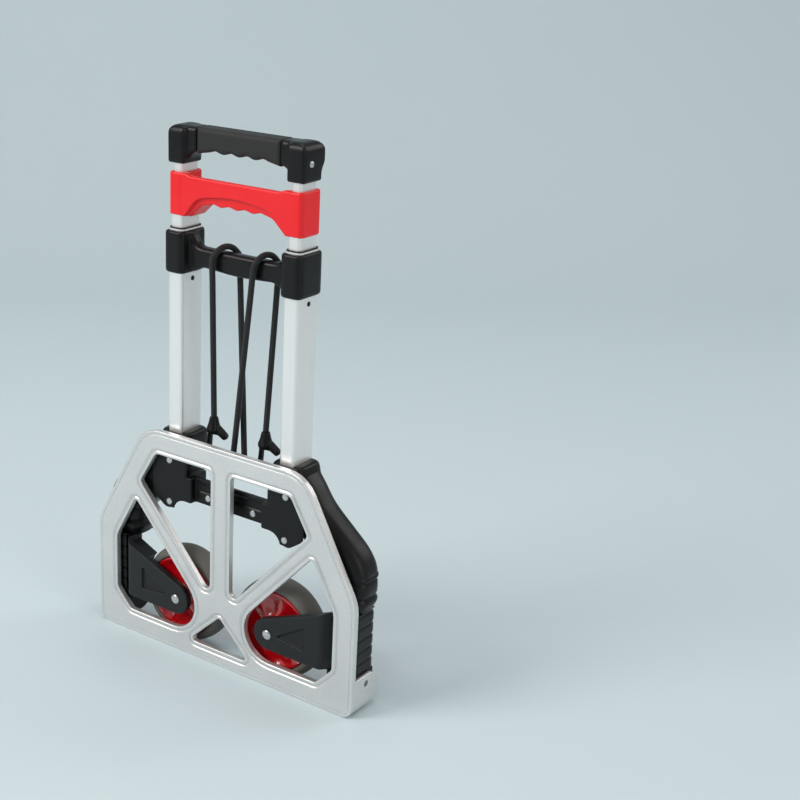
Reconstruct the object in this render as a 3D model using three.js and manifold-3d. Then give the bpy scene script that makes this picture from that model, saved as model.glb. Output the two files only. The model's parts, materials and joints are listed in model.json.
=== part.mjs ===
// Folding luggage cart, folded flat, millimetres.
// X runs across the cart, Y from the toe plate (front, negative) to the back, Z up.
// The floor is z = 0 and the cart's middle plane is x = 0.
import * as THREE from 'three';
import { mergeVertices, toCreasedNormals } from 'three/addons/utils/BufferGeometryUtils.js';
import Module from 'manifold-3d';

const wasm = await Module();
wasm.setup();

// ---------- driving dimensions ----------
const WIDTH = 385;
const DEPTH = 55;
const HEIGHT = 635;
const FRONT = -DEPTH / 2;
const GAP = 0.3;            // between fixed neighbours
const PIN_GAP = 0.1;        // radial, pin in its hole

// toe plate
const PLATE = {
  thick: 8, top: 277, shoulderX: 118, kneeZ: 142, cornerR: 10,
  ribHalf: 14.5, windowTop: 247.5, lip: 3.5, groove: 3.5, grooveDeep: 1.2,
};
const EAR = { thick: 4.5, high: 46, back: DEPTH / 2 };
const TOE_PIVOT = { y: 2.5, z: 34, r: 4 };

// telescopic tubes, all centred on the same two upright axes
const TUBE_X = 82;
const TUBE_Y = 6;
const MAIN = { w: 20.5, d: 37, wall: 1.5, corner: 3.5, bottom: 238.5, top: 514 };
const MIDDLE = { w: 16.5, d: 32, wall: 1.2, corner: 3, bottom: 252, top: 579 };
const INNER = { w: 13, d: 28, wall: 1.2, corner: 2.6, bottom: 256, top: 628 };
const PLUG_Z = 460;

// upper housing and cord bar
const HOUSING = { bottom: 468, top: 517, side: 4, front: 4.5, back: 3 };
const CORD_BAR = { bottom: 474, top: 500, front: -4, back: 12, round: 4 };
const TRIM_HIGH = 1.8;
const GASKET_HIGH = 1.4;

// red crosspiece and black top handle
const CROSS = {
  bottom: 534, top: 583, faceTop: 580.5, coreTop: 570, arch: 551, lipArch: 563, archHalf: 62,
  front: -12, back: 24.5,
};
const HANDLE = {
  bottom: 592, grip: 609, joint: 58, front: -12, neckBack: 21.5, back: 27, gripFront: -6, gripBack: 20,
};

// legs
const LEG = {
  front: -15, back: 27.5, top: 277, lowerTop: 121.5, lowerBottom: 46, outer: 187.5, footR: 20,
};
const BRIDGE = {
  half: 59.5, front: -9, back: 18, padFront: -17.8, bottom: 192, top: 256, slotBottom: 224, slotTop: 247.5,
};

// wheels and their swinging brackets
const AXLE = { x: 70, z: 65, r: 5, front: -27.4 };
const WHEEL = { r: 61, hubR: 49.5, front: -12, back: 18 };
const ARM = { front: -25.5, back: -17, endR: 19 };
const BARREL = { x: 168, y: 4, r: 13.5, bottom: 47, top: 120.5, pinR: 4 };

// elastic cords
const CORD_R = 3.5;
const CORD_SIDES = 8;
const CORD_STEPS = 44;
const ANCHORS = { left: [6, 9], right: [-7, 4] };

// ---------- materials ----------
const finish = (color, roughness, metalness) => (
  new THREE.MeshStandardMaterial({ color, roughness, metalness })
);
const CAST = finish(0xd2d3d3, 0.42, 0.85);
const ALUMINIUM = finish(0xdededb, 0.36, 0.9);
const STEEL = finish(0xb9bbbc, 0.3, 0.95);
const BLACK = finish(0x1f2022, 0.42, 0);
const RED = finish(0xe02a33, 0.38, 0);
const HUB_RED = finish(0xb40a12, 0.22, 0);
const TYRE_GREY = finish(0x5d5e5a, 0.75, 0);
const CORD_BLACK = finish(0x161617, 0.85, 0);

// ---------- outlines ----------
// Closed outline from [a, b, corner radius] vertices; every corner is rounded by an arc,
// divided so that no chord leaves it by more than the tolerance.
function roundedPath(corners, tolerance, PathType = THREE.Shape) {
  const path = new PathType();
  const count = corners.length;
  corners.forEach(([x, y, radius = 0], i) => {
    const before = corners[(i + count - 1) % count];
    const after = corners[(i + 1) % count];
    const inDir = new THREE.Vector2(x - before[0], y - before[1]).normalize();
    const outDir = new THREE.Vector2(after[0] - x, after[1] - y).normalize();
    const turn = Math.atan2(inDir.cross(outDir), inDir.dot(outDir));
    const reach = radius * Math.tan(Math.abs(turn) / 2);
    const start = [x - inDir.x * reach, y - inDir.y * reach];
    if (i === 0) path.moveTo(...start);
    else path.lineTo(...start);
    if (radius > 0) {
      const side = Math.sign(turn);
      const cx = start[0] - inDir.y * radius * side;
      const cy = start[1] + inDir.x * radius * side;
      const from = Math.atan2(start[1] - cy, start[0] - cx);
      const step = 2 * Math.acos(1 - Math.min(tolerance / radius, 0.3));
      const chords = Math.max(1, Math.ceil(Math.abs(turn) / step));
      for (let k = 1; k <= chords; k += 1) {
        const angle = from + (turn * k) / chords;
        path.lineTo(cx + radius * Math.cos(angle), cy + radius * Math.sin(angle));
      }
    }
  });
  path.closePath();
  return path;
}

// The same vertex list moved outwards by a distance (counter-clockwise outline).
function grown(corners, distance) {
  const count = corners.length;
  const edges = corners.map(([x, y], i) => {
    const [nx, ny] = corners[(i + 1) % count];
    const dir = new THREE.Vector2(nx - x, ny - y).normalize();
    return { dir, point: new THREE.Vector2(x + dir.y * distance, y - dir.x * distance) };
  });
  return corners.map(([, , radius = 0], i) => {
    const a = edges[(i + count - 1) % count];
    const b = edges[i];
    const along = b.point.clone().sub(a.point).cross(b.dir) / a.dir.cross(b.dir);
    const corner = a.point.clone().addScaledVector(a.dir, along);
    return [corner.x, corner.y, Math.max(radius + distance, 0)];
  });
}

const flipped = (corners) => corners.map(([x, y, radius]) => [-x, y, radius]).reverse();

function rectangle(x0, x1, y0, y1, radius) {
  return [[x0, y0, radius], [x1, y0, radius], [x1, y1, radius], [x0, y1, radius]];
}

// ---------- solids ----------
function toSolid(geometry) {
  const bare = geometry.index ? geometry.toNonIndexed() : geometry.clone();
  bare.deleteAttribute('normal');
  bare.deleteAttribute('uv');
  const merged = mergeVertices(bare, 1e-4);
  const p = merged.attributes.position;
  const tri = Uint32Array.from(merged.index.array);
  const [a, b, c] = [new THREE.Vector3(), new THREE.Vector3(), new THREE.Vector3()];
  let volume = 0;
  for (let i = 0; i < tri.length; i += 3) {
    a.fromBufferAttribute(p, tri[i]);
    b.fromBufferAttribute(p, tri[i + 1]);
    c.fromBufferAttribute(p, tri[i + 2]);
    volume += a.dot(b.cross(c));
  }
  if (volume < 0) {
    for (let i = 0; i < tri.length; i += 3) {
      [tri[i], tri[i + 1]] = [tri[i + 1], tri[i]];
    }
  }
  return new wasm.Manifold(new wasm.Mesh({
    numProp: 3, vertProperties: Float32Array.from(p.array), triVerts: tri,
  }));
}

function toGeometry(solid) {
  const { vertProperties, triVerts } = solid.getMesh();
  const geometry = new THREE.BufferGeometry();
  geometry.setAttribute('position', new THREE.BufferAttribute(Float32Array.from(vertProperties), 3));
  geometry.setIndex(new THREE.BufferAttribute(Uint32Array.from(triVerts), 1));
  return geometry;
}

const join = (first, ...rest) => rest.reduce((sum, solid) => sum.add(solid), first);
const cut = (first, ...rest) => rest.reduce((sum, solid) => sum.subtract(solid), first);

// Local extrusion frames: the outline's two axes and the extrusion axis, per view.
const VIEWS = {
  plan: new THREE.Matrix4(),
  front: new THREE.Matrix4().makeBasis(
    new THREE.Vector3(1, 0, 0), new THREE.Vector3(0, 0, 1), new THREE.Vector3(0, -1, 0),
  ),
  side: new THREE.Matrix4().makeBasis(
    new THREE.Vector3(0, 1, 0), new THREE.Vector3(0, 0, 1), new THREE.Vector3(1, 0, 0),
  ),
};

// Extrudes an outline seen in a view from one coordinate to another; bevel rounds both rims.
function slab(view, corners, from, to, options = {}) {
  const { bevel = 0, bevelSegments = 2, holes = [], tolerance = 0.25 } = options;
  const shape = roundedPath(corners, tolerance);
  shape.holes = holes.map((hole) => roundedPath(hole, tolerance, THREE.Path));
  const geometry = new THREE.ExtrudeGeometry(shape, {
    depth: to - from - 2 * bevel, bevelEnabled: bevel > 0,
    bevelThickness: bevel, bevelSize: bevel, bevelOffset: -bevel, bevelSegments,
  });
  geometry.translate(0, 0, view === 'front' ? -to + bevel : from + bevel);
  geometry.applyMatrix4(VIEWS[view]);
  return toSolid(geometry);
}

// Turned solid: profile of [radius, height] pairs about an axis through a centre.
function turned(profile, axis, centre, segments) {
  const geometry = new THREE.LatheGeometry(profile.map(([r, h]) => new THREE.Vector2(r, h)), segments);
  if (axis === 'x') geometry.rotateZ(-Math.PI / 2);
  if (axis === 'z') geometry.rotateX(Math.PI / 2);
  geometry.translate(...centre);
  return toSolid(geometry);
}

function rod(radius, axis, centre, from, to, segments = 24) {
  return turned([[0, from], [radius, from], [radius, to], [0, to]], axis, centre, segments);
}

// Dome-headed fastener along an axis; the head rises from the seat towards the sign's side.
function domeScrew(axis, centre, seat, sign, { headR, headHigh, shankR, shankLong }) {
  const h = (out) => seat + sign * out;
  return turned([
    [0, h(headHigh)], [headR * 0.55, h(headHigh * 0.88)], [headR * 0.9, h(headHigh * 0.5)],
    [headR, h(0)], [shankR, h(0)], [shankR, h(-shankLong)], [0, h(-shankLong)],
  ], axis, centre, 12);
}

const group = new THREE.Group();
group.name = 'folding_luggage_cart';

function place(name, solid, material) {
  const mesh = new THREE.Mesh(toCreasedNormals(toGeometry(solid), Math.PI / 5), material);
  mesh.name = name;
  group.add(mesh);
}

const mirrorSolid = (solid) => toSolid(toGeometry(solid).scale(-1, 1, 1));
// A solid on the right together with its mirror image, or the same solid twice over.
const bothSides = (solid) => [solid, mirrorSolid(solid)];

// Builds the right-hand piece and its mirror image.
function placePair(name, solid, material) {
  place(`${name}_right`, solid, material);
  place(`${name}_left`, mirrorSolid(solid), material);
}

const centredTube = (spec, extra = 0) => rectangle(
  TUBE_X - spec.w / 2 - extra, TUBE_X + spec.w / 2 + extra,
  TUBE_Y - spec.d / 2 - extra, TUBE_Y + spec.d / 2 + extra, spec.corner + extra,
);

// ---------- toe plate ----------
const half = WIDTH / 2;
const plateOutline = [
  [-half, 0, PLATE.cornerR], [half, 0, PLATE.cornerR], [half, PLATE.kneeZ, 45],
  [PLATE.shoulderX, PLATE.top, 42], [-PLATE.shoulderX, PLATE.top, 42], [-half, PLATE.kneeZ, 45],
];
const upperWindow = [
  [PLATE.ribHalf, 85, 7], [124.5, 206, 5], [99.5, PLATE.windowTop, 8],
  [PLATE.ribHalf, PLATE.windowTop, 5],
];
const wheelWindow = [
  [-6, 29.5, 35], [141, 29.5, 5], [163.5, 53, 6], [163.5, 124, 18], [132, 182, 4],
];
const footWindow = [[-46, 20, 4], [46, 20, 4], [0, 64, 4]];
const windows = [upperWindow, flipped(upperWindow), wheelWindow, flipped(wheelWindow), footWindow];

function ringGroove(corners, inner, width) {
  const holes = [grown(corners, inner)];
  return slab('front', grown(corners, inner + width), FRONT - 1, FRONT + PLATE.grooveDeep, { holes });
}

const earOutline = [
  [FRONT, 0, 0], [EAR.back, 0, 9], [EAR.back, 33, 9], [12, EAR.high, 8], [FRONT, EAR.high, 0],
];
const ear = cut(
  slab('side', earOutline, half - EAR.thick, half)
    .intersect(slab('front', plateOutline, FRONT - 1, EAR.back + 1)),
  rod(TOE_PIVOT.r + PIN_GAP, 'x', [0, TOE_PIVOT.y, TOE_PIVOT.z], half - 10, half + 1),
);
place('toe_plate', cut(
  join(
    slab('front', plateOutline, FRONT, FRONT + PLATE.thick, { holes: windows }),
    ear, mirrorSolid(ear),
  ),
  ...windows.map((corners) => ringGroove(corners, PLATE.lip, PLATE.groove)),
  slab('front', grown(plateOutline, -PLATE.lip), FRONT - 1, FRONT + PLATE.grooveDeep, {
    holes: [grown(plateOutline, -PLATE.lip - 1.6)],
  }),
), CAST);

placePair('toe_pin', domeScrew('x', [0, TOE_PIVOT.y, TOE_PIVOT.z], half - 1.6, 1, {
  headR: TOE_PIVOT.r, headHigh: 1.4, shankR: TOE_PIVOT.r, shankLong: 17,
}), STEEL);

// ---------- legs ----------
const legOutline = [
  [60, 195, 6], [66, 183, 8], [90, 176, 8], [114, 182, 20], [140, 158, 20], [140, LEG.lowerTop + GAP, 6],
  [192, LEG.lowerTop + GAP, 6], [192, 172, 24], [172, 200, 26], [134, 219, 34], [117, 252, 30],
  [103, LEG.top, 6], [60, LEG.top, 6],
];
const shellOutline = (offset) => rectangle(
  153 - offset, LEG.outer - 1.2 + offset, -16.8 - offset, 23 + offset, 7 + offset,
);
const RIB_PITCH = 14.6;
const RIB_COUNT = 5;
const ribs = Array.from({ length: RIB_COUNT }, (_, i) => {
  const low = LEG.lowerBottom + 2 + i * RIB_PITCH;
  return slab('plan', shellOutline(1.2), low, low + RIB_PITCH * 0.75, { tolerance: 0.6 });
});
const KNUCKLE_GROOVES = [140, 165];
const knuckleGrooves = KNUCKLE_GROOVES.map((z) => (
  slab('plan', rectangle(120, 210, -40, 60, 0), z, z + 2, {
    holes: [rectangle(141.5, 190.5, LEG.front + 1.5, LEG.back - 1.5, 8)],
  })
));
const barrelCentre = [BARREL.x, BARREL.y, 0];
const pinHole = rod(BARREL.pinR + PIN_GAP, 'z', barrelCentre, 24, 150, 32);
const shellCavity = join(
  rod(BARREL.r + 1.2, 'z', barrelCentre, LEG.lowerBottom, LEG.lowerTop, 40),
  slab('plan', [
    [140, -24, 0], [158, -15.5, 0], [168, -10, 0], [173.5, 0, 0], [173.5, 30, 0], [140, 30, 0],
  ], LEG.lowerBottom, LEG.lowerTop),
);
const footLow = TOE_PIVOT.z - LEG.footR;
const footTop = LEG.lowerBottom + 0.5;
const foot = slab('side', [
  [TOE_PIVOT.y - LEG.footR, footLow, LEG.footR - 0.5],
  [TOE_PIVOT.y + LEG.footR, footLow, LEG.footR - 0.5],
  [TOE_PIVOT.y + LEG.footR, footTop, 0], [TOE_PIVOT.y - LEG.footR, footTop, 0],
], 150, LEG.outer, { bevel: 1.5 });
const LEG_SCREW = { x: 101, z: 262 };
const SCREW = { headR: 4.2, headHigh: 1.4, shankR: 2, shankLong: 12 };
const PAD_SCREWS = [['upper', 86, 240, 3.9], ['lower', 86, 187, 12]];
const screwHole = (x, z) => rod(SCREW.shankR + PIN_GAP, 'y', [x, 0, z], -30, 2);
const leg = cut(
  join(
    cut(
      slab('front', legOutline, LEG.front, LEG.back, { bevel: 5.5 }),
      ...knuckleGrooves,
    ),
    slab('plan', shellOutline(0), LEG.lowerBottom - 4, LEG.lowerTop + 2, { tolerance: 0.6 }),
    ...ribs,
    foot,
  ),
  shellCavity,
  pinHole,
  slab('plan', centredTube(MAIN, GAP), MAIN.bottom - GAP, LEG.top + 1),
  rod(TOE_PIVOT.r + PIN_GAP, 'x', [0, TOE_PIVOT.y, TOE_PIVOT.z], half - 18.8, half + 1),
  screwHole(LEG_SCREW.x, LEG_SCREW.z),
  ...PAD_SCREWS.map(([, x, z]) => screwHole(x, z)),
);
placePair('leg', leg, BLACK);
placePair(
  'leg_screw', domeScrew('y', [LEG_SCREW.x, 0, LEG_SCREW.z], LEG.front, -1, SCREW), STEEL,
);

// ---------- lower bridge between the legs ----------
const bridgeOutline = rectangle(-BRIDGE.half, BRIDGE.half, BRIDGE.bottom, BRIDGE.top, 3);
const bridgeSlot = slab(
  'front', rectangle(-56, 56, BRIDGE.slotBottom, BRIDGE.slotTop, 4), BRIDGE.front - 1, BRIDGE.back + 1,
);
const padOutline = [
  [52, BRIDGE.bottom, 3], [72, 181, 8], [92, 178, 8], [112, 192, 8], [112, 236, 12], [96, 252, 6],
  [52, 252, 3],
];
const pad = join(
  slab('front', padOutline, BRIDGE.padFront, LEG.front - GAP),
  slab('front', rectangle(52, BRIDGE.half, 192, 252, 2), BRIDGE.padFront, BRIDGE.front + 1),
);
const BAR_SCREW = { x: 33.5, z: 202 };
const barRecess = slab(
  'front', rectangle(-48, 48, 207, 219, 3), BRIDGE.front - 1, BRIDGE.front + 1.5,
);
const anchorHoles = Object.values(ANCHORS).map(([x, y]) => (
  rod(CORD_R + 1.2, 'z', [x, y, 0], BRIDGE.slotTop - 5, BRIDGE.top + 5, 12)
));
place('lower_bridge', cut(
  join(slab('front', bridgeOutline, BRIDGE.front, BRIDGE.back, { bevel: 2.5 }), ...bothSides(pad)),
  bridgeSlot,
  barRecess,
  ...anchorHoles,
  ...[-1, 1].flatMap((side) => [
    screwHole(side * BAR_SCREW.x, BAR_SCREW.z),
    ...PAD_SCREWS.map(([, x, z]) => screwHole(side * x, z)),
  ]),
), BLACK);
PAD_SCREWS.forEach(([where, x, z, shankLong]) => {
  placePair(`pad_screw_${where}`, domeScrew('y', [x, 0, z], BRIDGE.padFront, -1, {
    ...SCREW, shankLong,
  }), STEEL);
});
placePair('bar_screw', domeScrew('y', [BAR_SCREW.x, 0, BAR_SCREW.z], BRIDGE.front, -1, {
  ...SCREW, shankLong: 10,
}), STEEL);

// ---------- wheel brackets ----------
const armPlan = [
  [40, ARM.front, 0], [146, ARM.front, 6], [162, -9, 0], [168, -8, 0], [168, 14, 0],
  [154, 8, 4], [140, ARM.back, 6], [40, ARM.back, 0],
];
const armFace = [
  [AXLE.x - ARM.endR, AXLE.z - ARM.endR, ARM.endR - 0.2], [142, 46, 5], [150, BARREL.bottom, 0],
  [184, BARREL.bottom, 0], [184, BARREL.top, 0], [158, BARREL.top, 6],
  [AXLE.x - ARM.endR, AXLE.z + ARM.endR - 5, ARM.endR - 0.2],
];
const pocket = [[83, 67, 1], [124, 62, 2], [124, 92, 2]];
// Fender between the arm and the barrel, following the tyre's rim.
const fenderFace = [
  [135, BARREL.bottom, 0], [168, BARREL.bottom, 0], [168, BARREL.top, 0], [112, BARREL.top, 0],
  [116, 110, 4], [128, 95, 6], [135, 75, 6],
];
const fenderPlan = [
  [100, ARM.back - 1, 0], [148, ARM.back - 1, 0], [155, -12.5, 0], [166, -8.2, 0],
  [168, BARREL.y, 0], [100, BARREL.y, 0],
];
const fender = slab('front', fenderFace, -30, 20).intersect(slab('plan', fenderPlan, 30, 130));
const bracket = cut(
  join(
    slab('plan', armPlan, 30, 130).intersect(slab('front', armFace, -40, 20)),
    fender,
    rod(BARREL.r, 'z', barrelCentre, BARREL.bottom, BARREL.top, 32),
  ),
  slab('front', pocket, ARM.front - 1, ARM.front + 3),
  rod(BARREL.pinR + PIN_GAP, 'z', barrelCentre, 40, 130, 32),
  rod(AXLE.r + PIN_GAP, 'y', [AXLE.x, 0, AXLE.z], -30, 0, 32),
);
placePair('wheel_bracket', bracket, BLACK);
placePair('bracket_pin', rod(BARREL.pinR, 'z', barrelCentre, 25, 149, 32), STEEL);

// ---------- wheels ----------
const axleCentre = [AXLE.x, 0, AXLE.z];
placePair('axle', turned([
  [0, AXLE.front], [3.6, AXLE.front + 0.4], [5.6, AXLE.front + 1.2], [6.2, ARM.front],
  [AXLE.r, ARM.front], [AXLE.r, 21], [AXLE.r - 1, 22], [0, 22],
], 'y', axleCentre, 24), STEEL);
placePair('axle_washer', turned([
  [AXLE.r + PIN_GAP, ARM.back + GAP], [10, ARM.back + GAP], [10, -15.6], [AXLE.r + PIN_GAP, -15.6],
  [AXLE.r + PIN_GAP, ARM.back + GAP],
], 'y', axleCentre, 24), STEEL);
placePair('axle_clip', turned([
  [AXLE.r + PIN_GAP, 18.4], [9, 18.4], [9, 19.8], [AXLE.r + PIN_GAP, 19.8], [AXLE.r + PIN_GAP, 18.4],
], 'y', axleCentre, 24), STEEL);

placePair('hub', turned([
  [AXLE.r + PIN_GAP, -15.3], [12.5, -15.3], [15, -13.5], [19, -7.5], [28, -5], [38, -6], [44, -9.5],
  [46, WHEEL.front], [WHEEL.hubR - 1, WHEEL.front], [WHEEL.hubR, -11], [WHEEL.hubR, 17],
  [WHEEL.hubR - 1, WHEEL.back], [46, WHEEL.back], [43, 12], [38, 9], [28, 8], [19, 10.5], [15, 16],
  [12.5, 18.1], [AXLE.r + PIN_GAP, 18.1], [AXLE.r + PIN_GAP, -15.3],
], 'y', axleCentre, 40), HUB_RED);
placePair('tyre', turned([
  [WHEEL.hubR + 0.15, -10.5], [50.5, -12], [54, -12.6], [58.5, -10], [60.4, -5], [WHEEL.r, 3],
  [60.4, 11], [58.5, 16], [54, 18.6], [50.5, 18], [WHEEL.hubR + 0.15, 16.5], [WHEEL.hubR + 0.15, -10.5],
], 'y', axleCentre, 40), TYRE_GREY);

// ---------- tubes ----------
function tube(spec) {
  const hollow = [rectangle(
    TUBE_X - spec.w / 2 + spec.wall, TUBE_X + spec.w / 2 - spec.wall,
    TUBE_Y - spec.d / 2 + spec.wall, TUBE_Y + spec.d / 2 - spec.wall, spec.corner - spec.wall,
  )];
  return slab('plan', centredTube(spec), spec.bottom, spec.top, { holes: hollow });
}
const plugCentre = [0, TUBE_Y + 0.5, PLUG_Z];
place('main_tube_right', cut(tube(MAIN), rod(2, 'x', plugCentre, TUBE_X, half, 12)), ALUMINIUM);
place('main_tube_left', cut(
  mirrorSolid(tube(MAIN)),
  rod(2, 'x', plugCentre, -TUBE_X, -TUBE_X + MAIN.w, 12),
), ALUMINIUM);
const PLUG = { headR: 3, headHigh: 0.9, shankR: 1.9, shankLong: 1.2 };
place('tube_plug_right', domeScrew('x', plugCentre, TUBE_X + MAIN.w / 2, 1, PLUG), BLACK);
place('tube_plug_left', domeScrew('x', plugCentre, -TUBE_X + MAIN.w / 2, 1, PLUG), BLACK);
placePair('middle_tube', tube(MIDDLE), ALUMINIUM);
placePair('inner_tube', tube(INNER), ALUMINIUM);

// Plastic glides pressed on the foot of each moving tube and running in the tube outside it.
function glide(spec, outer, high) {
  const slack = 0.25;
  const clear = rectangle(
    TUBE_X - outer.w / 2 + outer.wall + slack, TUBE_X + outer.w / 2 - outer.wall - slack,
    TUBE_Y - outer.d / 2 + outer.wall + slack, TUBE_Y + outer.d / 2 - outer.wall - slack,
    outer.corner - outer.wall,
  );
  const floor = 2.5;
  return cut(
    slab('plan', clear, spec.bottom - floor, spec.bottom + high),
    slab('plan', centredTube(spec, 0.1), spec.bottom - 0.1, spec.bottom + high + 1),
  );
}
placePair('middle_glide', glide(MIDDLE, MAIN, 24), BLACK);
placePair('inner_glide', glide(INNER, MIDDLE, 18), BLACK);

// ---------- upper bridge ----------
const housingOutline = rectangle(
  TUBE_X - MAIN.w / 2 - HOUSING.side, TUBE_X + MAIN.w / 2 + HOUSING.side,
  TUBE_Y - MAIN.d / 2 - HOUSING.front, TUBE_Y + MAIN.d / 2 + HOUSING.back, 7,
);
const housing = slab('plan', housingOutline, HOUSING.bottom, HOUSING.top, { bevel: 2 });
const barOutline = [
  [-78, 470, 0], [-64, 470, 0], [-50, CORD_BAR.bottom + 3, 10], [0, CORD_BAR.bottom, 200],
  [50, CORD_BAR.bottom + 3, 10], [64, 470, 0], [78, 470, 0], [78, 514, 0], [66, 514, 4.8],
  [58, CORD_BAR.top, 12], [-58, CORD_BAR.top, 12], [-66, 514, 4.8], [-78, 514, 0],
];
place('upper_bridge', cut(
  join(
    ...bothSides(housing),
    slab('front', barOutline, CORD_BAR.front, CORD_BAR.back, { bevel: CORD_BAR.round }),
  ),
  ...bothSides(slab('plan', centredTube(MAIN, GAP), HOUSING.bottom - 1, MAIN.top + GAP)),
  ...bothSides(slab('plan', centredTube(MIDDLE, GAP), MAIN.top - 1, HOUSING.top + 1)),
), BLACK);

function collar(outward, low, high) {
  return slab('plan', centredTube(MIDDLE, outward), low, high, {
    holes: [centredTube(MIDDLE, GAP)],
  });
}
const trimLow = HOUSING.top + 0.1;
const gasketLow = trimLow + TRIM_HIGH + 0.1;
placePair('trim_ring', collar(3.2, trimLow, trimLow + TRIM_HIGH), ALUMINIUM);
placePair('gasket', collar(2.2, gasketLow, gasketLow + GASKET_HIGH), BLACK);

// ---------- red crosspiece ----------
const FINGERS = 4;
const FINGER_PITCH = 22;
// Lower edge of a grip from left to right: a shallow wave with one hollow per finger.
function fingerWave(centreZ, amplitude) {
  const steps = FINGERS * 6;
  const span = FINGERS * FINGER_PITCH;
  return Array.from({ length: steps + 1 }, (_, i) => {
    const x = -span / 2 + (span * i) / steps;
    return [x, centreZ - amplitude * Math.cos((2 * Math.PI * x) / FINGER_PITCH), 0];
  });
}
const crossSleeve = slab(
  'plan', rectangle(71.5, 92.5, CROSS.front, CROSS.back, 5), CROSS.bottom, CROSS.top, { bevel: 1.2 },
);
const crossCore = slab('front', [
  [-74, CROSS.bottom, 0], [-CROSS.archHalf - 3, CROSS.bottom, 0],
  [-CROSS.archHalf + 12, CROSS.arch - 3, 12], ...fingerWave(CROSS.arch, 1.2),
  [CROSS.archHalf - 12, CROSS.arch - 3, 12], [CROSS.archHalf + 3, CROSS.bottom, 0],
  [74, CROSS.bottom, 0], [74, CROSS.coreTop, 0], [-74, CROSS.coreTop, 0],
], CROSS.front + 6, CROSS.back - 4, { bevel: 1 });
const crossFace = slab('front', [
  [-74, CROSS.bottom, 0], [-70, CROSS.bottom, 0], [-52, CROSS.lipArch - 6, 26],
  [0, CROSS.lipArch + 1, 160], [52, CROSS.lipArch - 6, 26], [70, CROSS.bottom, 0],
  [74, CROSS.bottom, 0], [74, CROSS.top, 0], [68, CROSS.top, 5], [62, CROSS.faceTop, 6],
  [-62, CROSS.faceTop, 6], [-68, CROSS.top, 5], [-74, CROSS.top, 0],
], CROSS.front + 0.6, CROSS.front + 8, { bevel: 1.5 });
place('red_crosspiece', cut(
  join(...bothSides(crossSleeve), crossCore, crossFace),
  ...bothSides(slab('plan', centredTube(MIDDLE, GAP), CROSS.bottom - 1, MIDDLE.top + GAP)),
  ...bothSides(slab('plan', centredTube(INNER, GAP), MIDDLE.top - 1, CROSS.top + 1)),
), RED);

// ---------- top handle ----------
const capSide = [
  [HANDLE.front, HANDLE.bottom, 1], [HANDLE.neckBack, HANDLE.bottom, 1], [HANDLE.neckBack, 603, 14],
  [HANDLE.back, 612, 8], [HANDLE.back, HEIGHT, 11], [HANDLE.front, HEIGHT, 8],
];
const capFace = [
  [71, HANDLE.bottom, 1], [94, HANDLE.bottom, 1], [94.5, HEIGHT, 10], [71, HEIGHT, 4],
];
// Neck that curves from the cap's inner side up to the grip.
const capNeck = slab('front', [
  [50, HANDLE.grip - 1, 0], [63, 606, 10], [70, 599, 8], [72.5, HANDLE.bottom + 0.5, 0],
  [86, HANDLE.bottom + 0.5, 0], [86, HEIGHT - 0.5, 0], [50, HEIGHT - 0.5, 0],
], HANDLE.gripFront, HANDLE.gripBack, { bevel: 4 });
const capNeckBox = slab('front', rectangle(HANDLE.joint, 80, 580, 640, 0), -30, 30);
const screwY = 1.5;
const screwZ = 612;
const handleCap = cut(
  join(
    slab('side', capSide, 50, 100).intersect(slab('front', capFace, -20, 30)),
    capNeck.intersect(capNeckBox),
  ),
  slab('plan', centredTube(INNER, GAP), HANDLE.bottom - 1, INNER.top + GAP),
  rod(1.9, 'x', [0, screwY, screwZ], TUBE_X + INNER.w / 2 - 0.6, 100, 12),
);
placePair('handle_cap', handleCap, BLACK);
placePair('handle_screw', domeScrew('x', [0, screwY, screwZ], 94.3, 1, {
  headR: 3.6, headHigh: 1.3, shankR: 1.8, shankLong: 4.5,
}), STEEL);
place('handle_grip', slab('front', [
  [-HANDLE.joint + GAP, HANDLE.grip - 4, 0],
  ...fingerWave(HANDLE.grip, 1.4),
  [HANDLE.joint - GAP, HANDLE.grip - 4, 0],
  [HANDLE.joint - GAP, HEIGHT - 0.5, 0], [-HANDLE.joint + GAP, HEIGHT - 0.5, 0],
], HANDLE.gripFront, HANDLE.gripBack, { bevel: 4 }), BLACK);

// ---------- elastic cords ----------
// Each cord starts in its hook, runs up to the cord bar, over it and down to its anchor.
function cord(points) {
  const stops = points.map((p) => new THREE.Vector3(...p));
  const path = new THREE.CatmullRomCurve3(stops, false, 'centripetal');
  const section = new THREE.Shape();
  section.absarc(0, 0, CORD_R, 0, 2 * Math.PI);
  const geometry = new THREE.ExtrudeGeometry(section, {
    steps: CORD_STEPS, curveSegments: CORD_SIDES / 2, bevelEnabled: false, extrudePath: path,
  });
  return toSolid(geometry);
}
const HOOK_Z = 301;
const HOOK_Y = 4;
const ANCHOR_Z = 256;
const ARCH = { y: (CORD_BAR.front + CORD_BAR.back) / 2, z: 491, r: 14.4 };
// Half circle over the cord bar, drifting sideways from one x to another.
function archOver(startX, endX, fromFront) {
  const stops = 7;
  return Array.from({ length: stops }, (_, i) => {
    const part = i / (stops - 1);
    const angle = Math.PI * (fromFront ? 1 - part : part);
    return [
      startX + (endX - startX) * part,
      ARCH.y + ARCH.r * Math.cos(angle),
      ARCH.z + ARCH.r * Math.sin(angle),
    ];
  });
}
const cordRoutes = {
  left: [[-36, HOOK_Y, HOOK_Z], ...archOver(-29, -13, true), [...ANCHORS.left, ANCHOR_Z]],
  right: [[40, HOOK_Y, HOOK_Z], ...archOver(42, 29, false), [...ANCHORS.right, ANCHOR_Z]],
};
const hookX = { left: -36, right: 40 };
Object.entries(cordRoutes).forEach(([side, route]) => {
  place(`cord_${side}`, cord(route), CORD_BLACK);
});

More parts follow.
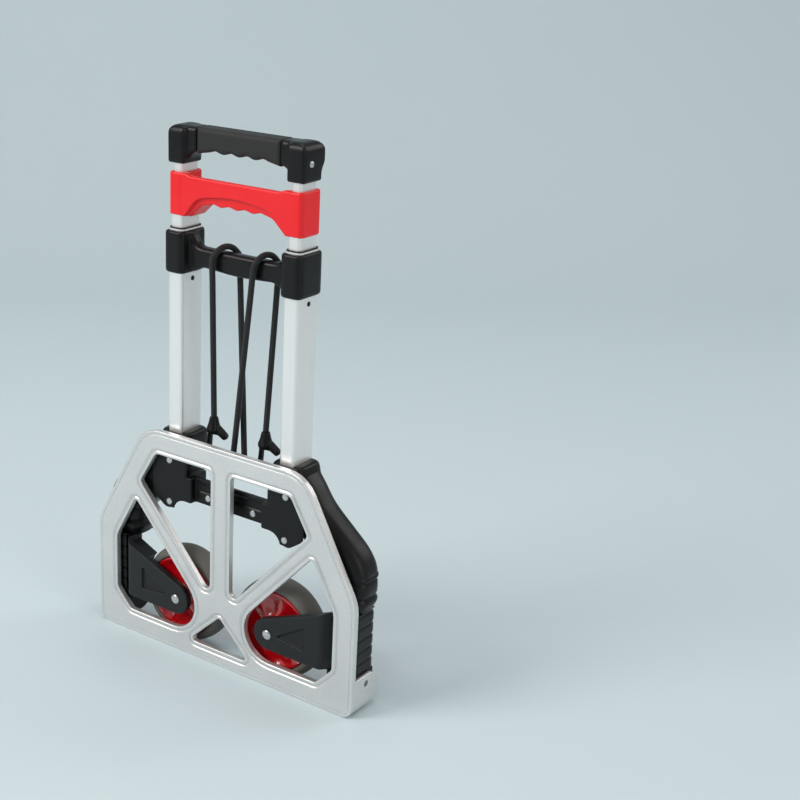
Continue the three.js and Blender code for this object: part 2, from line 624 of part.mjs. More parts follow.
// Hook: a flared collar on the cord's end, a leg down to the bridge and a short stub.
function hook(x) {
  const flare = turned([
    [0, HOOK_Z - 19], [8.2, HOOK_Z - 19], [9, HOOK_Z - 15], [6.6, HOOK_Z - 8],
    [CORD_R + 1.4, HOOK_Z - GAP], [0, HOOK_Z - GAP],
  ], 'z', [x, HOOK_Y, 0], 16);
  const arm = slab('front', [
    [x - 9.5, 259, 1.6], [x - 4.5, 259, 1.6], [x - 3, 279, 2], [x + 8, 280, 3], [x + 18, 275, 2.4],
    [x + 21, 282, 2.4], [x + 8, 291, 4], [x - 6, 291, 3],
  ], HOOK_Y - 3.5, HOOK_Y + 3.5, { bevel: 1.2 });
  return join(flare, arm);
}
place('hook_left', hook(hookX.left), BLACK);
place('hook_right', hook(hookX.right), BLACK);

// Ferrules crimped on the lower cord ends, sitting in the bridge's upper bar.
Object.entries(ANCHORS).forEach(([side, [x, y]]) => {
  place(`cord_ferrule_${side}`, turned([
    [0, BRIDGE.slotTop], [CORD_R + 0.8, BRIDGE.slotTop], [CORD_R + 0.8, ANCHOR_Z - 1.6],
    [0, ANCHOR_Z - 1.6],
  ], 'z', [x, y, 0], 12), BLACK);
});

export default group;
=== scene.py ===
"""Looks for the folding luggage cart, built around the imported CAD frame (metres)."""

import json
import math

import bmesh
import bpy
from mathutils import Matrix, Vector


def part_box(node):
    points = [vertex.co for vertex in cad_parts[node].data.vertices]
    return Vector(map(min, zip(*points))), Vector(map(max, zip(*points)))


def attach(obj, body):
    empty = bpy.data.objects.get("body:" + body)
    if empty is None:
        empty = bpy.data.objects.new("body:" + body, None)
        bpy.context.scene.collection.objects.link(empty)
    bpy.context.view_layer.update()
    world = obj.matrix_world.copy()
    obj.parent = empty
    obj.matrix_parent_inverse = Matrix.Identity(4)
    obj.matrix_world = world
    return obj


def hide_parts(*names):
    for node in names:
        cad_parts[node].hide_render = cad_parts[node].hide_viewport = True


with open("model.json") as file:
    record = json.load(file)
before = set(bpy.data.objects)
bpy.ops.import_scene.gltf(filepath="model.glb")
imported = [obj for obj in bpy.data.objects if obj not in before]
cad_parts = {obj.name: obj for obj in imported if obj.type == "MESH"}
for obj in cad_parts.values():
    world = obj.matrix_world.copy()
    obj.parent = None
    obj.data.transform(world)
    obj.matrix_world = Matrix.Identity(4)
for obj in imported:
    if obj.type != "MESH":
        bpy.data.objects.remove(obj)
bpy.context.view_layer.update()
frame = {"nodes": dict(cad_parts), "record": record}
nodes = frame["nodes"]
SIDES = ("left", "right")
MERGE = 1e-5  # vertices closer than this are one


# ---------- camera ----------
IMAGE = 800  # pixels across the square picture
SENSOR = 36.0  # millimetres
CAM_PLACE = Vector((1.008, -1.2684, 0.9035))
CAM_YAW, CAM_PITCH, CAM_ROLL = (math.radians(a) for a in (38.13, 19.65, 1.01))
CAM_FOCAL_PX = 1509.0
CAM_CENTRE_PX = (244.9, 404.8)


def make_camera():
    """The camera solved from the picture, as focal length and centre in pixels."""
    forward = Vector(
        (
            -math.sin(CAM_YAW) * math.cos(CAM_PITCH),
            math.cos(CAM_YAW) * math.cos(CAM_PITCH),
            -math.sin(CAM_PITCH),
        )
    )
    right = forward.cross(Vector((0, 0, 1))).normalized()
    up = right.cross(forward)
    c, s = math.cos(CAM_ROLL), math.sin(CAM_ROLL)
    right, up = c * right + s * up, c * up - s * right
    turn = Matrix((right, up, -forward)).transposed().to_4x4()
    data = bpy.data.cameras.new("camera")
    data.sensor_width = SENSOR
    data.lens = CAM_FOCAL_PX * SENSOR / IMAGE
    data.shift_x = (IMAGE / 2 - CAM_CENTRE_PX[0]) / IMAGE
    data.shift_y = (CAM_CENTRE_PX[1] - IMAGE / 2) / IMAGE
    data.clip_start, data.clip_end = 0.05, 20
    cam = bpy.data.objects.new("camera", data)
    cam.matrix_world = Matrix.Translation(CAM_PLACE) @ turn
    bpy.context.scene.collection.objects.link(cam)
    bpy.context.scene.camera = cam


make_camera()


# ---------- node materials ----------
class Mat:
    """A node material with short helpers to wire its nodes."""

    def __init__(self, name, color, roughness, metallic=0.0, **sockets):
        self.mat = bpy.data.materials.new(name)
        self.mat.use_nodes = True
        self.tree = self.mat.node_tree
        self.bsdf = self.tree.nodes["Principled BSDF"]
        self.color = (*color, 1.0)
        self.bsdf.inputs["Base Color"].default_value = self.color
        self.bsdf.inputs["Roughness"].default_value = roughness
        self.bsdf.inputs["Metallic"].default_value = metallic
        for key, value in sockets.items():
            self.bsdf.inputs[key.replace("_", " ")].default_value = value
        self.roughness = roughness

    def add(self, kind, **values):
        node = self.tree.nodes.new(kind)
        for key, value in values.items():
            if hasattr(node, key):
                setattr(node, key, value)
            else:
                node.inputs[key.replace("_", " ")].default_value = value
        return node

    def link(self, a, b):
        self.tree.links.new(a, b)

    def coords(self, scale=(1, 1, 1), kind="Object"):
        """Object coordinates scaled per axis, in metres times the scale."""
        source = self.add("ShaderNodeTexCoord")
        mapping = self.add("ShaderNodeMapping")
        mapping.inputs["Scale"].default_value = scale
        self.link(source.outputs[kind], mapping.inputs["Vector"])
        return mapping.outputs["Vector"]

    def noise(self, scale, detail=3.0, stretch=(1, 1, 1), rough=0.55):
        node = self.add("ShaderNodeTexNoise", Scale=scale, Detail=detail, Roughness=rough)
        self.link(self.coords(stretch), node.inputs["Vector"])
        return node.outputs["Fac"]

    def ramp(self, value, low, high, out_low=0.0, out_high=1.0):
        node = self.add("ShaderNodeMapRange")
        node.inputs["From Min"].default_value = low
        node.inputs["From Max"].default_value = high
        node.inputs["To Min"].default_value = out_low
        node.inputs["To Max"].default_value = out_high
        self.link(value, node.inputs["Value"])
        return node.outputs["Result"]

    def math(self, operation, a, b):
        node = self.add("ShaderNodeMath", operation=operation)
        for socket, value in zip(node.inputs, (a, b)):
            if isinstance(value, (int, float)):
                socket.default_value = value
            else:
                self.link(value, socket)
        return node.outputs[0]

    def tint(self, factor, color):
        """Mixes another colour over the base by a factor output."""
        mix = self.add("ShaderNodeMix", data_type="RGBA")
        socket = self.bsdf.inputs["Base Color"]
        mix.inputs[6].default_value = self.color
        if socket.links:
            self.link(socket.links[0].from_socket, mix.inputs[6])
            self.tree.links.remove(socket.links[0])
        mix.inputs[7].default_value = (*color, 1.0)
        self.link(factor, mix.inputs[0])
        self.link(mix.outputs[2], socket)

    def vary_roughness(self, factor, spread):
        low, high = self.roughness - spread, self.roughness + spread
        self.link(self.ramp(factor, 0.3, 0.7, low, high), self.bsdf.inputs["Roughness"])

    def bump(self, heights, strength, distance):
        """Bump nodes chained from [height outputs]."""
        normal = None
        for height, k, d in zip(heights, strength, distance):
            node = self.add("ShaderNodeBump")
            node.inputs["Strength"].default_value = k
            node.inputs["Distance"].default_value = d
            self.link(height, node.inputs["Height"])
            if normal is not None:
                self.link(normal, node.inputs["Normal"])
            normal = node.outputs["Normal"]
        self.link(normal, self.bsdf.inputs["Normal"])

    def edge_wear(self, low, high, color, amount=1.0):
        """Lightens convex edges: Geometry pointiness through a range."""
        geo = self.add("ShaderNodeNewGeometry")
        factor = self.ramp(geo.outputs["Pointiness"], low, high, 0.0, amount)
        self.tint(factor, color)

    def paint_crease_shade(self, low, high, color, amount):
        """Painted shade in concave creases: Geometry pointiness below the flat value, darkened
        towards a colour.
        """
        geo = self.add("ShaderNodeNewGeometry")
        factor = self.ramp(geo.outputs["Pointiness"], low, high, amount, 0.0)
        self.tint(factor, color)


def cast_aluminium():
    m = Mat("cast_aluminium", (0.74, 0.735, 0.73), 0.40, 0.78)
    grain = m.noise(430, 5, rough=0.7)
    cloud = m.noise(22, 3)
    m.tint(m.ramp(cloud, 0.35, 0.7, 0.0, 0.5), (0.80, 0.795, 0.79))
    m.tint(m.ramp(grain, 0.52, 0.75, 0.0, 0.45), (0.50, 0.50, 0.50))
    # painted shade: the casting's concave creases darkened towards near black
    m.paint_crease_shade(0.43, 0.492, (0.10, 0.10, 0.105), 0.9)
    m.vary_roughness(cloud, 0.07)
    m.bump([grain, cloud], [0.35, 0.05], [0.0006, 0.002])
    return m.mat


def tube_aluminium():
    m = Mat("tube_aluminium", (0.90, 0.89, 0.88), 0.38, 0.72, Anisotropic=0.35)
    lines = m.noise(420, 3, (1, 1, 0.015))
    cloud = m.noise(9, 2, (1, 1, 0.3))
    m.tint(m.ramp(lines, 0.3, 0.75, 0.0, 0.35), (0.82, 0.815, 0.81))
    m.vary_roughness(cloud, 0.05)
    m.bump([lines], [0.08], [0.0003])
    return m.mat


def steel(name="zinc_steel", color=(0.62, 0.62, 0.63), rough=0.3):
    m = Mat(name, color, rough, 1.0)
    grain = m.noise(1500, 3)
    m.tint(m.ramp(grain, 0.3, 0.8, 0.0, 0.3), (0.45, 0.45, 0.46))
    m.vary_roughness(grain, 0.08)
    m.bump([grain], [0.1], [0.0002])
    return m.mat


def black_plastic(name="black_plastic", color=(0.005, 0.005, 0.0055), rough=0.34, grain_k=0.12):
    m = Mat(name, color, rough, 0.0, Specular_IOR_Level=0.24)
    grain = m.noise(1400, 4)
    cloud = m.noise(30, 3)
    m.tint(m.ramp(cloud, 0.4, 0.75, 0.0, 0.35), tuple(1.5 * c for c in color))
    m.edge_wear(0.53, 0.62, tuple(2.6 * c for c in color), 0.6)
    # painted shade: concave creases darkened towards a tenth of the base colour
    m.paint_crease_shade(0.44, 0.494, tuple(0.1 * c for c in color), 0.95)
    m.vary_roughness(cloud, 0.06)
    m.bump([grain], [grain_k], [0.0003])
    return m.mat


def red_plastic():
    m = Mat("red_plastic", (0.86, 0.010, 0.016), 0.38, 0.0, Specular_IOR_Level=0.4)
    grain = m.noise(1200, 4)
    cloud = m.noise(28, 3)
    m.tint(m.ramp(cloud, 0.35, 0.75, 0.0, 0.5), (0.90, 0.016, 0.022))
    m.vary_roughness(cloud, 0.06)
    m.bump([grain, cloud], [0.08, 0.03], [0.0003, 0.001])
    return m.mat


def hub_red():
    m = Mat("hub_red", (0.46, 0.002, 0.006), 0.2, 0.0, Coat_Weight=1.0, Coat_Roughness=0.1)
    grain = m.noise(700, 3)
    cloud = m.noise(40, 3)
    m.tint(m.ramp(cloud, 0.35, 0.75, 0.0, 0.6), (0.60, 0.006, 0.012))
    m.vary_roughness(cloud, 0.05)
    m.bump([grain], [0.05], [0.0003])
    return m.mat


def tyre_rubber():
    m = Mat("tyre_rubber", (0.125, 0.118, 0.106), 0.72)
    grain = m.noise(1100, 5)
    dust = m.noise(60, 4)
    m.tint(m.ramp(dust, 0.4, 0.75, 0.0, 0.6), (0.155, 0.155, 0.142))
    m.vary_roughness(dust, 0.08)
    m.bump([grain, dust], [0.25, 0.1], [0.0004, 0.001])
    return m.mat


STRANDS = 6
STRAND_TURNS = 260  # crossings of the braid in a metre


def cord_sheath():
    """A braid: two sine waves run round the cord in opposite directions."""
    m = Mat("cord_sheath", (0.004, 0.004, 0.0045), 0.75, 0.0, Sheen_Weight=0.08)
    uv = m.coords((1, 1, 1), "UV")
    split = m.add("ShaderNodeSeparateXYZ")
    m.link(uv, split.inputs[0])
    around = m.math("MULTIPLY", split.outputs["X"], 2 * math.pi * STRANDS)
    along = m.math("MULTIPLY", split.outputs["Y"], 2 * math.pi * STRAND_TURNS)
    one = m.math("SINE", m.math("ADD", around, along), 0)
    two = m.math("SINE", m.math("SUBTRACT", around, along), 0)
    weave = m.math("MULTIPLY", one, two)
    m.tint(m.ramp(weave, -1.0, 1.0, 0.0, 0.7), (0.016, 0.016, 0.017))
    m.bump([weave], [0.5], [0.0005])
    return m.mat


CAST = cast_aluminium()
TUBE = tube_aluminium()
STEEL = steel()
DARK_STEEL = steel("dark_steel", (0.16, 0.16, 0.17), 0.35)
BLACK = black_plastic()
GRIP_BLACK = black_plastic("grip_black", (0.024, 0.024, 0.024), 0.6, 0.3)
ARM_BLACK = black_plastic("arm_black", (0.014, 0.016, 0.017), 0.42, 0.2)
RED = red_plastic()
HUB = hub_red()
TYRE = tyre_rubber()
CORD = cord_sheath()


# ---------- mesh helpers ----------
def linked(name, mesh):
    obj = bpy.data.objects.new(name, mesh)
    bpy.context.scene.collection.objects.link(obj)
    return obj


def paint(mesh, material):
    mesh.materials.clear()
    mesh.materials.append(material)


def new_object(name, mesh, body, material):
    obj = linked(name, mesh)
    paint(mesh, material)
    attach(obj, body)
    return obj


def body_holding(node):
    """The moving body a CAD node belongs to."""
    for body, members in frame["record"]["behaviour"]["bodies"].items():
        if node in members:
            return body
    raise ValueError(node)


def shade_smooth(mesh):
    mesh.polygons.foreach_set("use_smooth", [True] * len(mesh.polygons))


def baked(obj):
    """Applies an object's modifiers and gives the resulting mesh."""
    graph = bpy.context.evaluated_depsgraph_get()
    mesh = bpy.data.meshes.new_from_object(obj.evaluated_get(graph))
    obj.modifiers.clear()
    obj.data = mesh
    return mesh


def keep_below(mesh, height):
    """Cuts a closed mesh at a height, drops what is above it and caps the cut."""
    bm = bmesh.new()
    bm.from_mesh(mesh)
    bmesh.ops.remove_doubles(bm, verts=bm.verts, dist=MERGE)
    everything = list(bm.verts) + list(bm.edges) + list(bm.faces)
    cut = bmesh.ops.bisect_plane(
        bm, geom=everything, plane_co=(0, 0, height), plane_no=(0, 0, 1), clear_outer=True
    )
    edges = [e for e in cut["geom_cut"] if isinstance(e, bmesh.types.BMEdge)]
    bmesh.ops.holes_fill(bm, edges=edges, sides=0)
    bm.to_mesh(mesh)
    bm.free()


def weld(obj):
    obj.modifiers.new("weld", "WELD").merge_threshold = MERGE


def finish_mesh(bm, name):
    bmesh.ops.recalc_face_normals(bm, faces=bm.faces)
    mesh = bpy.data.meshes.new(name)
    bm.to_mesh(mesh)
    bm.free()
    return mesh


def remeshed(obj, voxel, rounds):
    """One rounded skin round everything in an object, with its edges relaxed."""
    weld(obj)
    remesh = obj.modifiers.new("remesh", "REMESH")
    remesh.mode = "VOXEL"
    remesh.voxel_size = voxel
    smooth = obj.modifiers.new("smooth", "SMOOTH")
    smooth.factor = 0.5
    smooth.iterations = rounds
    mesh = baked(obj)
    mesh.name = obj.name
    shade_smooth(mesh)
    return mesh


def prism(bm, outline, y0, y1):
    """A closed prism of an (x, z) outline, run along Y."""
    front = [bm.verts.new((x, y0, z)) for x, z in outline]
    back = [bm.verts.new((x, y1, z)) for x, z in outline]
    bm.faces.new(front)
    bm.faces.new(list(reversed(back)))
    for i in range(len(outline)):
        n = (i + 1) % len(outline)
        bm.faces.new((front[n], front[i], back[i], back[n]))


def take_out(obj, bm):
    """Subtracts the closed shape in bm from an object and gives the resulting mesh."""
    cutter = linked("cutter", finish_mesh(bm, "cutter"))
    boolean = obj.modifiers.new("carve", "BOOLEAN")
    boolean.object = cutter
    boolean.operation = "DIFFERENCE"
    boolean.solver = "EXACT"
    mesh = baked(obj)
    bpy.data.objects.remove(cutter)
    return mesh


def carve_both_sides(obj, prisms):
    """Takes prisms of (outline, y0, y1) out of an object, on both sides of the middle."""
    for outline, y0, y1 in prisms:
        for sign in (1, -1):
            bm = bmesh.new()
            prism(bm, [(sign * x, z) for x, z in outline], y0, y1)
            take_out(obj, bm)


def moulded(node, name, material, slot, voxel, rounds, below=None, carve=()):
    """A finely rounded moulding or casting made from a CAD node's solid."""
    mesh = nodes[node].data.copy()
    if below:
        keep_below(mesh, below)
    obj = linked(name, mesh)
    if carve:
        weld(obj)
        baked(obj)
        carve_both_sides(obj, carve)
    paint(remeshed(obj, voxel, rounds), material)
    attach(obj, body_holding(node))
    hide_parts(node)
    return obj


# ---------- elastic cords ----------
CORD_R = 0.0035
ARCH_Y, ARCH_Z, ARCH_R = 0.004, 0.491, 0.0144
HOOK_Y, HOOK_Z, ANCHOR_Z = 0.004, 0.301, 0.256
ARCH_STEPS, DROP_STEPS, RISE_STEPS = 6, 8, 9
# hook end, x where the cord meets the bar, x where it leaves it, ferrule end, front to back
CORD_ENDS = {
    "left": ((-0.036, HOOK_Y, HOOK_Z), -0.029, -0.013, (0.006, 0.009, ANCHOR_Z), True),
    "right": ((0.040, HOOK_Y, HOOK_Z), 0.042, 0.029, (-0.007, 0.004, ANCHOR_Z), False),
}


def cord_route(start, x0, x1, end, from_front):
    """Straight from the hook, half way round over the bar, straight to the ferrule."""
    stops = []
    for i in range(ARCH_STEPS + 1):
        part = i / ARCH_STEPS
        angle = math.pi * (1 - part if from_front else part)
        stops.append(
            Vector(
                (
                    x0 + (x1 - x0) * part,
                    ARCH_Y + ARCH_R * math.cos(angle),
                    ARCH_Z + ARCH_R * math.sin(angle),
                )
            )
        )
    first = [Vector(start).lerp(stops[0], t / DROP_STEPS) for t in range(DROP_STEPS)]
    last = [stops[-1].lerp(Vector(end), t / RISE_STEPS) for t in range(1, RISE_STEPS + 1)]
    return first + stops + last


def tube_mesh(name, points, radius, sides=16):
    """A closed tube with a UV map: U round it, V along it in metres."""
    bm = bmesh.new()
    uv = bm.loops.layers.uv.new("UVMap")
    rings, travel, length = [], [], 0.0
    side = None
    for i, p in enumerate(points):
        ahead = points[min(i + 1, len(points) - 1)] - points[max(i - 1, 0)]
        ahead.normalize()
        if side is None:
            side = ahead.orthogonal().normalized()
        side = (side - ahead * side.dot(ahead)).normalized()
        other = ahead.cross(side)
        ring = [
            bm.verts.new(p + radius * (math.cos(a) * side + math.sin(a) * other))
            for a in (2 * math.pi * k / sides for k in range(sides))
        ]
        if i:
            length += (p - points[i - 1]).length
        rings.append(ring)
        travel.append(length)
    for i in range(len(rings) - 1):
        for k in range(sides):
            n = (k + 1) % sides
            face = bm.faces.new((rings[i][k], rings[i][n], rings[i + 1][n], rings[i + 1][k]))
            face.smooth = True
            us = (k / sides, (k + 1) / sides, (k + 1) / sides, k / sides)
            vs = (travel[i], travel[i], travel[i + 1], travel[i + 1])
            for loop, u, v in zip(face.loops, us, vs):
                loop[uv].uv = (u, v)
    bm.faces.new(list(reversed(rings[0])))
    bm.faces.new(rings[-1])
    bm.normal_update()
    mesh = bpy.data.meshes.new(name)
    bm.to_mesh(mesh)
    bm.free()
    return mesh, length


def smooth_path(stops, steps):
    """A uniform Catmull-Rom curve through stops."""
    out = []
    for i in range(len(stops) - 1):
        a = stops[max(i - 1, 0)]
        b, c = stops[i], stops[i + 1]
        d = stops[min(i + 2, len(stops) - 1)]
        for k in range(steps):
            t = k / steps
            out.append(
                0.5
                * (
                    2 * b
                    + (c - a) * t
                    + (2 * a - 5 * b + 4 * c - d) * t * t
                    + (3 * b - a - 3 * c + d) * t * t * t
                )
            )
    out.append(stops[-1].copy())
    return out


for side_name, ends in CORD_ENDS.items():
    route = smooth_path(cord_route(*ends), 4)
    cord_mesh, cord_length = tube_mesh(f"elastic_cord_{side_name}", route, CORD_R)
    cord = new_object(
        f"elastic_cord_{side_name}", cord_mesh, "chassis", CORD
    )
    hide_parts(f"cord_{side_name}")


# ---------- legs ----------
LEG_FRONT, LEG_BACK = -0.015, 0.0275
LEG_MID_Y = (LEG_FRONT + LEG_BACK) / 2
LEG_HALF_Y = (LEG_BACK - LEG_FRONT) / 2
# spine of the limb: x, z, half width across it
LIMB = (
    (0.0880, 0.2640, 0.0140),
    (0.0965, 0.2480, 0.0190),
    (0.1120, 0.2200, 0.0235),
    (0.1370, 0.1945, 0.0262),
    (0.1560, 0.1770, 0.0272),
    (0.1648, 0.1670, 0.0256),
    (0.1655, 0.1600, 0.0248),
)
# knuckle rings below it: z, inset of the skin
KNUCKLE = (
    (0.1690, 0.0032),
    (0.1675, 0.0012),
    (0.1655, 0.0000),
    (0.1630, -0.0002),
    (0.1612, 0.0012),
    (0.1600, 0.0020),
    (0.1586, 0.0012),
    (0.1566, 0.0004),
    (0.1500, 0.0002),
    (0.1440, 0.0005),
    (0.1420, 0.0014),
    (0.1406, 0.0022),
    (0.1392, 0.0012),
    (0.1370, 0.0000),
    (0.1345, -0.0002),
    (0.1310, 0.0008),
    (0.1275, 0.0028),
    (0.1240, 0.0040),
    (0.1219, 0.0046),
)
# socket round the tube above it: z, x, half width, inset of the skin
SOCKET = (
    (0.1960, 0.0930, 0.0200, 0.0040),
    (0.1995, 0.0925, 0.0215, 0.0000),
    (0.2300, 0.0860, 0.0250, 0.0000),
    (0.2680, 0.0825, 0.0222, 0.0000),
    (0.2740, 0.0822, 0.0220, 0.0010),
    (0.2765, 0.0820, 0.0218, 0.0034),
)
KNUCKLE_X, KNUCKLE_HALF = 0.1659, 0.0263
BOOT_TOP = 0.1225
# how boxy each part's rings are, see ring_of
SHOULDER_POWER, SOCKET_POWER, KNUCKLE_POWER = 3.4, 6.0, 3.2
KNUCKLE_SEGMENTS = 72
TUBE_GAP = 0.0002  # air between a tube and its socket
TUBE_CUT_TOP = 0.29
SHARP_ANGLE = 0.52  # radians
BEVEL = 0.00025


def ring_of(bm, centre, across, half_u, half_y, power, count=56):
    """A rounded-rectangle ring of vertices; power 2 is an ellipse, more is boxier."""
    ring = []
    for k in range(count):
        a = 2 * math.pi * k / count
        c, s = math.cos(a), math.sin(a)
        u = math.copysign(abs(c) ** (2 / power), c) * half_u
        y = math.copysign(abs(s) ** (2 / power), s) * half_y
        ring.append(bm.verts.new(centre + across * u + Vector((0, y, 0))))
    return ring


def loft(bm, rings):
    """Skins rings of equal count and caps both ends."""
    for a, b in zip(rings, rings[1:]):
        for k in range(len(a)):
            n = (k + 1) % len(a)
            bm.faces.new((a[k], a[n], b[n], b[k])).smooth = True
    bm.faces.new(list(reversed(rings[0])))
    bm.faces.new(rings[-1])


def block(bm, low, high):
    """A box between two opposite corners."""
    bmesh.ops.create_cube(
        bm,
        size=1,
        matrix=Matrix.Translation((Vector(low) + Vector(high)) / 2)
        @ Matrix.Diagonal((*(Vector(high) - Vector(low)), 1)),
    )


def mirrored(mesh, sign):
    """The mesh itself for the right side (sign 1), its mirror image for the left."""
    if sign < 0:
        mesh.transform(Matrix.Diagonal((-1, 1, 1, 1)))
        mesh.flip_normals()
    return mesh


def leg_shoulder(side, sign):
    """The smooth arm of the leg, from the tube's socket out to the knuckle."""
    bm = bmesh.new()
    stops = smooth_path([Vector((x, LEG_MID_Y, z)) for x, z, _ in LIMB], 4)
    widths = smooth_path([Vector((w, 0, 0)) for _, _, w in LIMB], 4)
    rings = []
    for i, centre in enumerate(stops):
        ahead = stops[min(i + 1, len(stops) - 1)] - stops[max(i - 1, 0)]
        across = Vector((ahead.z, 0, -ahead.x)).normalized()
        rings.append(ring_of(bm, centre, across, widths[i].x, LEG_HALF_Y, SHOULDER_POWER))
    loft(bm, rings)
    collar = []
    for z, x, half_x, inset in SOCKET:
        centre = Vector((x, LEG_MID_Y, z))
        halves = (half_x - inset, LEG_HALF_Y - inset)
        collar.append(ring_of(bm, centre, Vector((1, 0, 0)), *halves, SOCKET_POWER))
    loft(bm, collar)
    obj = linked(f"leg_shoulder_{side}", finish_mesh(bm, "leg_shoulder"))
    remeshed(obj, voxel=0.0013, rounds=14)
    low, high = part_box("main_tube_right")
    tube = bmesh.new()
    block(
        tube,
        (low.x - TUBE_GAP, low.y - TUBE_GAP, low.z),
        (high.x + TUBE_GAP, high.y + TUBE_GAP, TUBE_CUT_TOP),
    )
    mesh = take_out(obj, tube)
    shade_smooth(mesh)
    mirrored(mesh, sign)
    paint(mesh, BLACK)
    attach(obj, "chassis")
    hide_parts(f"leg_{side}")


def leg_knuckle(side, sign):
    """Ringed band under the shoulder."""
    bm = bmesh.new()
    rings = [
        ring_of(
            bm,
            Vector((KNUCKLE_X, LEG_MID_Y, z)),
            Vector((1, 0, 0)),
            KNUCKLE_HALF - inset,
            LEG_HALF_Y - inset,
            KNUCKLE_POWER,
            KNUCKLE_SEGMENTS,
        )
        for z, inset in KNUCKLE
    ]
    loft(bm, rings)
    mesh = mirrored(finish_mesh(bm, f"leg_knuckle_{side}"), sign)
    bevel_edges(mesh)
    obj = new_object(f"leg_knuckle_{side}", mesh, "chassis", BLACK)
    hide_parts(f"leg_{side}")


def bevel_edges(mesh):
    """Rounds every edge sharper than 30 degrees by a quarter of a millimetre."""
    bm = bmesh.new()
    bm.from_mesh(mesh)
    inner = [e for e in bm.edges if len(e.link_faces) == 2]
    sharp = [e for e in inner if e.calc_face_angle() > SHARP_ANGLE]
    bmesh.ops.bevel(bm, geom=sharp, offset=BEVEL, segments=2, affect="EDGES", profile=0.5)
    for face in bm.faces:
        face.smooth = True
    bm.to_mesh(mesh)
    bm.free()


# ---------- wheels ----------
WHEEL_X, WHEEL_Z = 0.070, 0.065
WHEEL_SEGMENTS = 144
HUB_LOBES, LOBE_RELIEF, LOBE_TURN = 6, 0.0032, 0.3
# hub face: radius, y on the front face, share of the lobes' relief
HUB_FACE = (
    (0.0052, -0.0150, 0.0),
    (0.0118, -0.0152, 0.0),
    (0.0136, -0.0146, 0.0),
    (0.0150, -0.0128, 0.0),
    (0.0172, -0.0100, 0.3),
    (0.0210, -0.0072, 1.0),
    (0.0280, -0.0056, 1.0),
    (0.0350, -0.0058, 1.0),
    (0.0400, -0.0076, 0.7),
    (0.0432, -0.0100, 0.2),
    (0.0450, -0.0116, 0.0),
    (0.0466, -0.0122, 0.0),
    (0.0484, -0.0121, 0.0),
    (0.0494, -0.0112, 0.0),
    (0.0495, 0.0030, 0.0),
)
HUB_MID_Y = 0.003
# tyre section: radius, y on the front half
TYRE_PROFILE = (
    (0.0494, -0.0098),
    (0.0498, -0.0114),
    (0.0508, -0.0124),
    (0.0530, -0.0128),
    (0.0552, -0.0122),
    (0.0576, -0.0104),
    (0.0594, -0.0074),
    (0.0605, -0.0030),
    (0.0609, 0.0030),
)


def spun(profile, centre, count, lobes=0, relief=0.0):
    """A closed lathe of (radius, y, lobe share) stops, mirrored about the wheel's middle."""
    bm = bmesh.new()
    mirror = [(r, 2 * HUB_MID_Y - y, k) for r, y, k in reversed(profile[:-1])]
    rings = []
    for r, y, k in list(profile) + mirror:
        sign = 1 if y < HUB_MID_Y else -1
        ring = []
        for i in range(count):
            a = 2 * math.pi * i / count
            lift = sign * relief * k * (0.5 - 0.5 * math.cos(lobes * (a + LOBE_TURN)))
            place = Vector((r * math.cos(a), y - lift, r * math.sin(a)))
            ring.append(bm.verts.new(centre + place))
        rings.append(ring)
    for a, b in zip(rings, rings[1:] + rings[:1]):
        for i in range(count):
            n = (i + 1) % count
            bm.faces.new((a[i], a[n], b[n], b[i])).smooth = True
    return bm


def wheel(side, sign):
    """A lobed hub and the tyre round it, both turning with the wheel."""
    centre = Vector((sign * WHEEL_X, 0, WHEEL_Z))
    dish = spun(HUB_FACE, centre, WHEEL_SEGMENTS, HUB_LOBES, LOBE_RELIEF)
    hub = new_object(
        f"hub_dish_{side}",
        finish_mesh(dish, f"hub_dish_{side}"),
        f"wheel_{side}",
        HUB,
    )
    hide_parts(f"hub_{side}")
    profile = [(r, y, 0.0) for r, y in TYRE_PROFILE]
    tyre = new_object(
        f"tyre_tread_{side}",
        finish_mesh(spun(profile, centre, WHEEL_SEGMENTS), f"tyre_tread_{side}"),
        f"wheel_{side}",
        TYRE,
    )
    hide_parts(f"tyre_{side}")
    for obj in (hub, tyre):
        obj.modifiers.new("round", "SUBSURF").levels = 1
        obj.modifiers["round"].render_levels = 1


# ---------- pieces ----------
# outlines carved out of the looks, as x, z on the right half
BRIDGE_HOLLOW = ((-0.001, 0.203), (0.0575, 0.203), (0.0575, 0.226), (-0.001, 0.226))
BRIDGE_SLOT_END = ((0.0480, 0.2241), (0.0600, 0.2241), (0.0600, 0.2470), (0.0480, 0.2470))
PLATE_HALF, PLATE_RADIUS = 0.1925, 0.013
PLATE_CORNER = [(0.1940, -0.001), (0.1940, PLATE_RADIUS)] + [
    (
        PLATE_HALF - PLATE_RADIUS + PLATE_RADIUS * math.cos(math.radians(a)),
        PLATE_RADIUS - PLATE_RADIUS * math.sin(math.radians(a)),
    )
    for a in range(0, 91, 10)
] + [(PLATE_HALF - PLATE_RADIUS, -0.001)]
FENDER_TOP = ((0.1050, 0.0920), (0.1530, 0.1130), (0.1530, 0.1260), (0.1050, 0.1260))
FENDER_EDGE = ((0.1000, 0.0984), (0.1560, 0.1204), (0.1560, 0.1260), (0.1000, 0.1260))
PAD_CORNER = (
    (0.0500, 0.1700),
    (0.0500, 0.1925),
    (0.0640, 0.1925),
    (0.0700, 0.1912),
    (0.0745, 0.1880),
    (0.0780, 0.1835),
    (0.0810, 0.1700),
)
moulded(
    "toe_plate",
    "toe_plate_casting",
    CAST,
    "cast_aluminium",
    voxel=0.0008,
    rounds=6,
    carve=[(PLATE_CORNER, -0.0300, 0.0300)],
)
